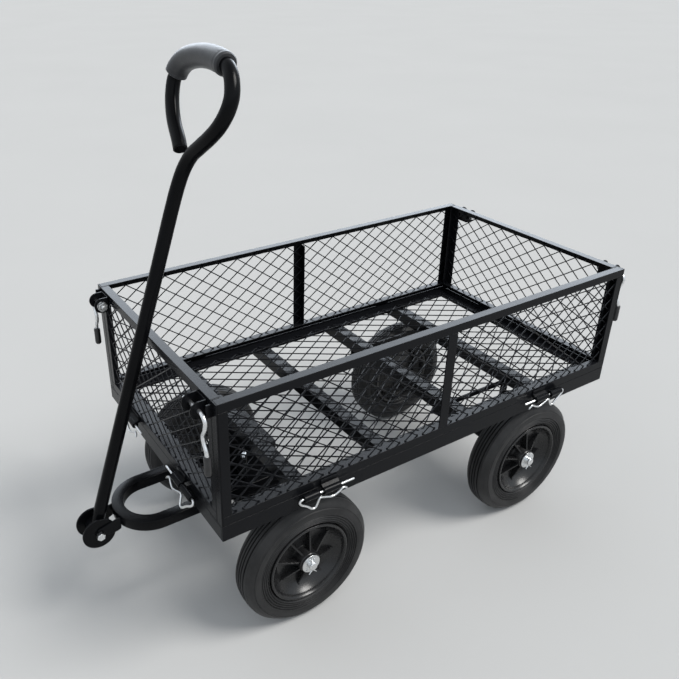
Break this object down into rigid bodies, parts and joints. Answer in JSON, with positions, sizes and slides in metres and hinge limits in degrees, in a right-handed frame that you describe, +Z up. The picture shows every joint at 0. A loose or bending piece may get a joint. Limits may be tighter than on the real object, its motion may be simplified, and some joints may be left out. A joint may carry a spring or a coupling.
{
  "type": "garden cart",
  "caption": "Black steel mesh garden cart with fold-down sides held by R-clips and corner latches, dished plastic wheels, and a steered pull handle with a foam grip.",
  "frame": {"origin": "on the ground, under the middle of the whole cart's box at rest", "axes": "+X along the bed from the handle end to the rear, +Y from the near side to the far side, +Z up"},
  "size_m": [1.0564, 0.501, 0.9449],
  "materials": {
    "black_paint": "semi-gloss black powder coat",
    "mesh_paint": "semi-gloss black powder coat on drawn wire",
    "zinc": "bright zinc plate",
    "tyre_rubber": "matt black rubber",
    "rim_plastic": "satin black moulded plastic",
    "vinyl": "dipped black vinyl",
    "foam": "dark grey closed-cell foam, matt"
  },
  "bodies": {
    "chassis": {"base_rail_near": "black_paint", "base_rail_far": "black_paint", "base_rail_front": "black_paint", "base_rail_rear": "black_paint", "cross_member_1": "black_paint", "cross_member_2": "black_paint", "cross_member_3": "black_paint", "cross_member_4": "black_paint", "deck_mesh": "mesh_paint", "rear_axle": "black_paint", "rear_axle_carrier": "black_paint", "front_bolster": "black_paint", "kingpin": "zinc", "cotter_pin_rear_near": "zinc", "cotter_pin_rear_far": "zinc"},
    "steering": {"front_axle": "black_paint", "tongue": "black_paint", "clevis_near": "black_paint", "clevis_far": "black_paint", "clevis_bolt": "zinc", "cotter_pin_front_near": "zinc", "cotter_pin_front_far": "zinc"},
    "handle": {"handle_tube": "black_paint", "handle_grip": "foam"},
    "near_side": {"near_side_frame": "black_paint", "near_side_mesh": "mesh_paint"},
    "far_side": {"far_side_frame": "black_paint", "far_side_mesh": "mesh_paint"},
    "front_panel": {"front_panel_frame": "black_paint", "front_panel_mesh": "mesh_paint", "latch_bracket_front_near": "black_paint", "latch_bracket_front_far": "black_paint"},
    "rear_panel": {"rear_panel_frame": "black_paint", "rear_panel_mesh": "mesh_paint", "latch_bracket_rear_near": "black_paint", "latch_bracket_rear_far": "black_paint"},
    "wheel_front_near": {"tyre_front_near": "tyre_rubber", "rim_front_near": "rim_plastic"},
    "wheel_front_far": {"tyre_front_far": "tyre_rubber", "rim_front_far": "rim_plastic"},
    "wheel_rear_near": {"tyre_rear_near": "tyre_rubber", "rim_rear_near": "rim_plastic"},
    "wheel_rear_far": {"tyre_rear_far": "tyre_rubber", "rim_rear_far": "rim_plastic"},
    "lever_front_near": {"latch_lever_front_near": "zinc", "lever_sleeve_front_near": "vinyl"},
    "lever_front_far": {"latch_lever_front_far": "zinc", "lever_sleeve_front_far": "vinyl"},
    "lever_rear_near": {"latch_lever_rear_near": "zinc", "lever_sleeve_rear_near": "vinyl"},
    "lever_rear_far": {"latch_lever_rear_far": "zinc", "lever_sleeve_rear_far": "vinyl"},
    "clip_near_front": {"clip_near_front": "zinc"},
    "clip_front_near": {"clip_front_near": "zinc"},
    "clip_far_front": {"clip_far_front": "zinc"},
    "clip_front_far": {"clip_front_far": "zinc"},
    "clip_near_rear": {"clip_near_rear": "zinc"},
    "clip_rear_near": {"clip_rear_near": "zinc"},
    "clip_far_rear": {"clip_far_rear": "zinc"},
    "clip_rear_far": {"clip_rear_far": "zinc"}
  },
  "joints": [
    {"name": "handle_tilt", "type": "hinge", "parent": "steering", "child": "handle", "pos_m": [-0.49925, 0, 0.1765], "axis": [0, -1, 0], "range_deg": [0, 118]},
    {"name": "steer", "type": "hinge", "parent": "chassis", "child": "steering", "pos_m": [-0.20275, 0, 0.1765], "axis": [0, 0, 1], "range_deg": [-40, 40]},
    {"name": "front_panel_fold", "type": "hinge", "parent": "chassis", "child": "front_panel", "pos_m": [-0.38225, 0, 0.296], "axis": [0, -1, 0], "range_deg": [0, 100]},
    {"name": "rear_panel_fold", "type": "hinge", "parent": "chassis", "child": "rear_panel", "pos_m": [0.51075, 0, 0.296], "axis": [0, 1, 0], "range_deg": [0, 170]},
    {"name": "near_side_fold", "type": "hinge", "parent": "chassis", "child": "near_side", "pos_m": [0.06425, -0.2445, 0.296], "axis": [1, 0, 0], "range_deg": [0, 165]},
    {"name": "far_side_fold", "type": "hinge", "parent": "chassis", "child": "far_side", "pos_m": [0.06425, 0.2445, 0.296], "axis": [-1, 0, 0], "range_deg": [0, 165]},
    {"name": "wheel_front_near_spin", "type": "hinge", "parent": "steering", "child": "wheel_front_near", "pos_m": [-0.20275, 0, 0.125], "axis": [0, 1, 0], "continuous": true},
    {"name": "wheel_front_far_spin", "type": "hinge", "parent": "steering", "child": "wheel_front_far", "pos_m": [-0.20275, 0, 0.125], "axis": [0, 1, 0], "continuous": true},
    {"name": "wheel_rear_near_spin", "type": "hinge", "parent": "chassis", "child": "wheel_rear_near", "pos_m": [0.33125, 0, 0.125], "axis": [0, 1, 0], "continuous": true},
    {"name": "wheel_rear_far_spin", "type": "hinge", "parent": "chassis", "child": "wheel_rear_far", "pos_m": [0.33125, 0, 0.125], "axis": [0, 1, 0], "continuous": true},
    {"name": "lever_front_near_turn", "type": "hinge", "parent": "front_panel", "child": "lever_front_near", "pos_m": [-0.38675, 0, 0.497], "axis": [0, 1, 0], "range_deg": [0, 120]},
    {"name": "lever_front_far_turn", "type": "hinge", "parent": "front_panel", "child": "lever_front_far", "pos_m": [-0.38675, 0, 0.497], "axis": [0, 1, 0], "range_deg": [0, 120]},
    {"name": "lever_rear_near_turn", "type": "hinge", "parent": "rear_panel", "child": "lever_rear_near", "pos_m": [0.51525, 0, 0.497], "axis": [0, -1, 0], "range_deg": [0, 120]},
    {"name": "lever_rear_far_turn", "type": "hinge", "parent": "rear_panel", "child": "lever_rear_far", "pos_m": [0.51525, 0, 0.497], "axis": [0, -1, 0], "range_deg": [0, 120]},
    {"name": "clip_near_front_pull", "type": "slide", "parent": "chassis", "child": "clip_near_front", "axis": [-1, 0, 0], "range_m": [0, 0.105]},
    {"name": "clip_front_near_pull", "type": "slide", "parent": "chassis", "child": "clip_front_near", "axis": [0, -1, 0], "range_m": [0, 0.105]},
    {"name": "clip_far_front_pull", "type": "slide", "parent": "chassis", "child": "clip_far_front", "axis": [-1, 0, 0], "range_m": [0, 0.105]},
    {"name": "clip_front_far_pull", "type": "slide", "parent": "chassis", "child": "clip_front_far", "axis": [0, 1, 0], "range_m": [0, 0.105]},
    {"name": "clip_near_rear_pull", "type": "slide", "parent": "chassis", "child": "clip_near_rear", "axis": [1, 0, 0], "range_m": [0, 0.105]},
    {"name": "clip_rear_near_pull", "type": "slide", "parent": "chassis", "child": "clip_rear_near", "axis": [0, -1, 0], "range_m": [0, 0.105]},
    {"name": "clip_far_rear_pull", "type": "slide", "parent": "chassis", "child": "clip_far_rear", "axis": [1, 0, 0], "range_m": [0, 0.105]},
    {"name": "clip_rear_far_pull", "type": "slide", "parent": "chassis", "child": "clip_rear_far", "axis": [0, 1, 0], "range_m": [0, 0.105]}
  ],
  "couplings": [
    {"joint": "steer", "follows": "handle_tilt", "ratio": 0.3389},
    {"joint": "front_panel_fold", "follows": "handle_tilt", "ratio": 0.8474}
  ]
}
